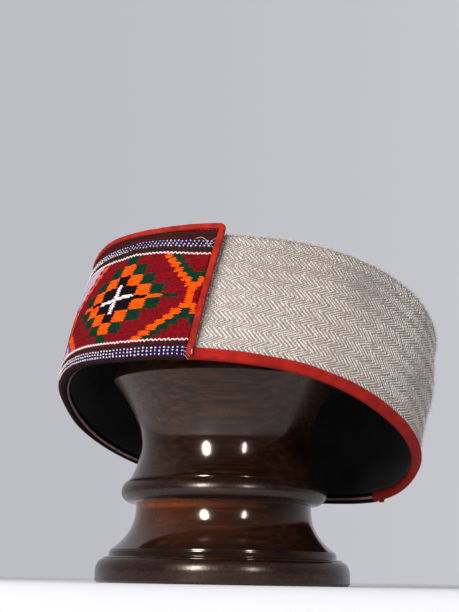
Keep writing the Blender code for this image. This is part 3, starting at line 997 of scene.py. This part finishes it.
def make_white_lines(material):
    """Two zigzag lines of white yarn along the field's edges."""
    tubes = []
    for height in WHITE_LINES:
        angles = np.linspace(-FLAP_END + 0.1, FLAP_END - 0.1, 1300)
        turn = 2.0 * math.pi * np.radians(angles) * RIM_RADIUS * 1000.0 / DOT_PITCH
        wave = 0.42 * np.sin(turn) + 0.12 * RANDOM.normal(0.0, 1.0, len(angles))
        up = height + border_drift(angles, height) + wave
        path = flap_point(angles, up / 1000.0, 0.00018)
        thick = 0.00066 * (1.0 + 0.25 * np.sin(2.0 * turn))
        tubes.append(tube_points(path, surface_normal(angles), thick, thick * 0.7))
    add_piece(tube_mesh("white_lines", tubes), material, "front_flap")


def make_dots(material):
    """Rows of small white stitches in the borders."""
    count = int(FLAP_LENGTH * 1000.0 / DOT_PITCH)
    places = []
    for number, height in enumerate(DOT_ROWS):
        angles = np.linspace(-FLAP_END + 1.2, FLAP_END - 1.2, count)
        heights = (height + border_drift(angles, height)) / 1000.0 + RANDOM.normal(0.0, 0.0001, count)
        slant = (0.08 if number < 3 else -0.3) * (number % 3 - 1.0)
        places.append(np.stack([angles + (slant + RANDOM.normal(0.0, 0.05, count)), heights], axis=1))
    places = np.concatenate(places)
    half_wide = RANDOM.uniform(0.00036, 0.00060, len(places))
    half_tall = RANDOM.uniform(0.00038, 0.00056, len(places))
    turns = np.linspace(0.0, 2.0 * math.pi, DOT_SIDES, endpoint=False)
    across = np.degrees(half_wide[:, None] * np.cos(turns)[None, :] / RIM_RADIUS)
    upward = half_tall[:, None] * np.sin(turns)[None, :]
    angle, path = places[:, 0:1], places[:, 1:2]
    low = flap_point(angle + across, path + upward, -0.0001)
    mid = flap_point(angle + across * 0.8, path + upward * 0.8, 0.00032)
    crest = flap_point(angle, path, 0.00042)
    under = flap_point(angle, path, -0.0002)
    faces = []
    for k in range(DOT_SIDES):
        n = (k + 1) % DOT_SIDES
        up_k, up_n = DOT_SIDES + k, DOT_SIDES + n
        faces += [(k, n, up_n, up_k), (up_k, up_n, 2 * DOT_SIDES), (n, k, 2 * DOT_SIDES + 1)]
    mesh = bodies_mesh("white_dots", np.concatenate([low, mid, crest, under], axis=1), faces)
    add_piece(mesh, material, "front_flap")


def make_loose_threads(material):
    """Ravelled ends of the border's white yarn, and the tack at the flap's lower corner."""
    tubes = []
    for thick, points in LOOSE_THREADS:
        points = np.array(points)
        place = np.linspace(0.0, len(points) - 1.0, 18)
        angle, height, out = (np.interp(place, range(len(points)), points[:, k]) for k in range(3))
        path = flap_point(angle, height / 1000.0, out / 1000.0)
        tubes.append(tube_points(path, surface_normal(angle), thick / 1000.0, thick / 1000.0))
    add_piece(tube_mesh("loose_threads", tubes), material, "front_flap")


# The red edging

def squared_off(share):
    return np.sign(share) * np.abs(share) ** 0.62


def make_flap_binding(material):
    """The edging along the flap's ends and top, a little uneven as sewn cloth is."""
    half = FLAP_WRAP / 2.0
    corner = PIPING_CORNER
    corner_angle = length_to_angle(corner)
    corner_height = FLAP_TOP - corner
    inner = corner - PIPING_WIDTH
    line = []
    for height in np.linspace(PIPING_FOOT, corner_height, 90):
        line.append((-half, height, -half + length_to_angle(PIPING_WIDTH), height))
    for turn in np.linspace(0.0, math.pi / 2.0, 9, endpoint=False)[1:]:
        across, up = math.cos(turn), math.sin(turn)
        line.append((-half + corner_angle * (1.0 - across), corner_height + corner * up,
                     -half + corner_angle - length_to_angle(inner) * across, corner_height + inner * up))
    for angle in np.linspace(-half + corner_angle, 0.0, 220):
        line.append((angle, FLAP_TOP, angle, FLAP_TOP - PIPING_WIDTH))
    line += [(-a, h, -b, g) for a, h, b, g in reversed(line[:-1])]
    line = np.array(line)
    turns = np.linspace(0.0, 2.0 * math.pi, 14, endpoint=False)
    across = squared_off(np.cos(turns))[None, :]
    deep = squared_off(np.sin(turns))[None, :]
    track = np.linspace(0.0, 1.0, len(line))[:, None]
    swell = 1.0 + 0.05 * smooth_noise(track * 12.0, track * 0.0, 21, 9.0)
    pucker = 0.00012 * smooth_noise(track * 30.0, track * 0.0, 33, 9.0)
    share = 0.5 + 0.5 * across * swell
    angle = line[:, 0:1] * (1.0 - share) + line[:, 2:3] * share
    height = line[:, 1:2] * (1.0 - share) + line[:, 3:4] * share
    face = flap_face(height) + PIPING_PROUD - PIPING_DEPTH / 2.0
    rings = wall_point(angle, height, face + deep * PIPING_DEPTH / 2.0 + pucker * (deep > 0.0))
    add_piece(tube_mesh("flap_edging", [rings]), material, "flap_binding")


def make_rim_binding(material):
    start = FLAP_END + length_to_angle(GAP)
    angles = np.linspace(start, 360.0 - start, 300)
    outer = GAP + BINDING_CLOTH
    inner = TWEED + GAP + BINDING_CLOTH
    radius = (outer + inner) / 2.0
    wave = 0.00022 * smooth_noise(angles / 360.0, angles * 0.0, 41, 90.0)
    edge = BINDING_OUTER + 0.0003 * smooth_noise(angles / 360.0, angles * 0.0, 44, 40.0)
    rows = []
    for share in np.linspace(0.0, 1.0, 7)[:-1]:
        puff = 0.0007 * math.sin(math.pi * min(share * 1.15 + 0.06, 1.0))
        rows.append(wall_point(angles, edge + (radius - edge) * share, outer + wave * share + puff))
    for turn in np.linspace(0.0, math.pi, 13):
        out = (outer - inner) / 2.0 + radius * math.cos(turn)
        rows.append(wall_point(angles, radius * (1.0 - math.sin(turn)), out))
    rows.append(wall_point(angles, BINDING_INNER, -inner))
    mesh = grid_mesh("rim_edging", np.array(rows))
    solidify(add_piece(mesh, material, "rim_binding"), BINDING_CLOTH)


# Floor, lights and camera

def make_floor():
    """A plain floor, pale round the stand and greyer far off."""
    ends = (-FLOOR_REACH, FLOOR_REACH)
    mesh = grid_mesh("floor", np.array([[(x, -y, 0.0) for x in ends] for y in ends]))
    floor = new_material("pale_floor", Roughness=0.6, Specular_IOR_Level=0.3)
    reach = floor.node("VectorMath", {0: floor.where}, operation="LENGTH")["Value"]
    tone = floor.ramp(floor.times(reach, 1.0 / FLOOR_FADE), (0.2, linear((226, 227, 231))),
                      (1.0, linear((186, 186, 192))))
    floor.set("Base Color", tone)
    # Painted light: far behind the stand the floor glows in the wall's colour, so that it fades into the
    # wall.
    floor.set("Emission Color", linear(WALL_COLOURS[0]))
    floor.set("Emission Strength", floor.rise(floor.along((*AWAY, 0.0)), 0.3, 1.5, 0.0, 0.5))
    mesh.materials.append(floor.owner)
    link_object("floor", mesh)


def add_area_light(name, side, elevation, size, power, colour):
    """A soft light that faces the cap. side is its angle to the right of the camera."""
    light = bpy.data.lights.new(name, "AREA")
    light.shape = "ELLIPSE"
    light.size, light.size_y = size
    light.energy = power
    light.color = colour
    thing = link_object(name, light)
    turn = math.radians(CAMERA_SIDE - 90.0 + side)
    lift = math.radians(elevation)
    way = Vector((math.cos(turn) * math.cos(lift), math.sin(turn) * math.cos(lift), math.sin(lift)))
    thing.location = Vector(LIGHT_AIM) + way * LIGHT_DISTANCE
    thing.rotation_euler = way.to_track_quat("Z", "Y").to_euler()
    return thing


def make_lights():
    """Two soft lights that show on the polish, and a broad one that doesn't."""
    add_area_light("key", -25.0, 22.0, (0.25, 0.56), 16.8, (1.0, 0.98, 0.95))
    add_area_light("fill", 27.0, 20.0, (0.13, 0.42), 4.2, (0.97, 0.98, 1.0))
    side = add_area_light("side", -68.0, 24.0, (0.6, 0.6), 9.0, (1.0, 0.99, 0.97))
    side.visible_glossy = False


def make_world():
    """A pale wall all round for the camera. The light it gives is bright behind the object and
    dim on the camera's side."""
    world = bpy.data.worlds.new("studio")
    bpy.context.scene.world = world
    sky = Surface(world, "Background", "Generated")
    share = sky.rise(sky.along((AWAY[1], -AWAY[0], 0.0)), -0.14, 0.16)
    sky.set("Color", sky.mix(share, *(linear(colour) for colour in WALL_COLOURS)))
    light = sky.rise(sky.along((*AWAY, 0.35)), -0.35, 0.9, 0.16, 1.0)
    seen = sky.node("LightPath")["Is Camera Ray"]
    sky.set("Strength", sky.calculate("MAXIMUM", light, seen))


def make_camera():
    camera = bpy.data.cameras.new("camera")
    camera.sensor_width = SENSOR
    camera.lens = CAMERA_FOCUS / PHOTO_HEIGHT * SENSOR
    camera.clip_start = 0.01
    thing = link_object("camera", camera)
    side = Matrix.Rotation(math.radians(CAMERA_SIDE), 4, "Z")
    place = side @ Vector((0.0, -CAMERA_DISTANCE, CAMERA_HEIGHT))
    look = (side @ Matrix.Rotation(math.radians(-CAMERA_YAW), 4, "Z")
            @ Matrix.Rotation(math.radians(90.0 + CAMERA_PITCH), 4, "X")
            @ Matrix.Rotation(math.radians(CAMERA_ROLL), 4, "Z"))
    thing.matrix_world = Matrix.Translation(place) @ look
    bpy.context.scene.camera = thing


def build():
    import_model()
    bpy.context.scene.view_settings.view_transform = "Standard"
    make_camera()
    make_world()
    make_lights()
    make_floor()

    make_stand()
    ground = tweed_material()
    cream = float_material()
    make_crown_side(ground)
    make_crown_top(ground)
    make_side_weave(cream)
    make_top_weave(cream)
    make_fuzz(yarn_material("wool_fibre", (226, 218, 208)))
    make_lining(lining_material())
    make_front_flap()
    white = yarn_material("white_yarn", YARNS["white"])
    make_white_lines(white)
    make_dots(white)
    make_loose_threads(white)
    make_flap_binding(red_cloth_material("piping_cotton", (132, 20, 9), (186, 38, 18)))
    make_rim_binding(red_cloth_material("red_cotton", (146, 17, 8), (180, 27, 12)))


build()
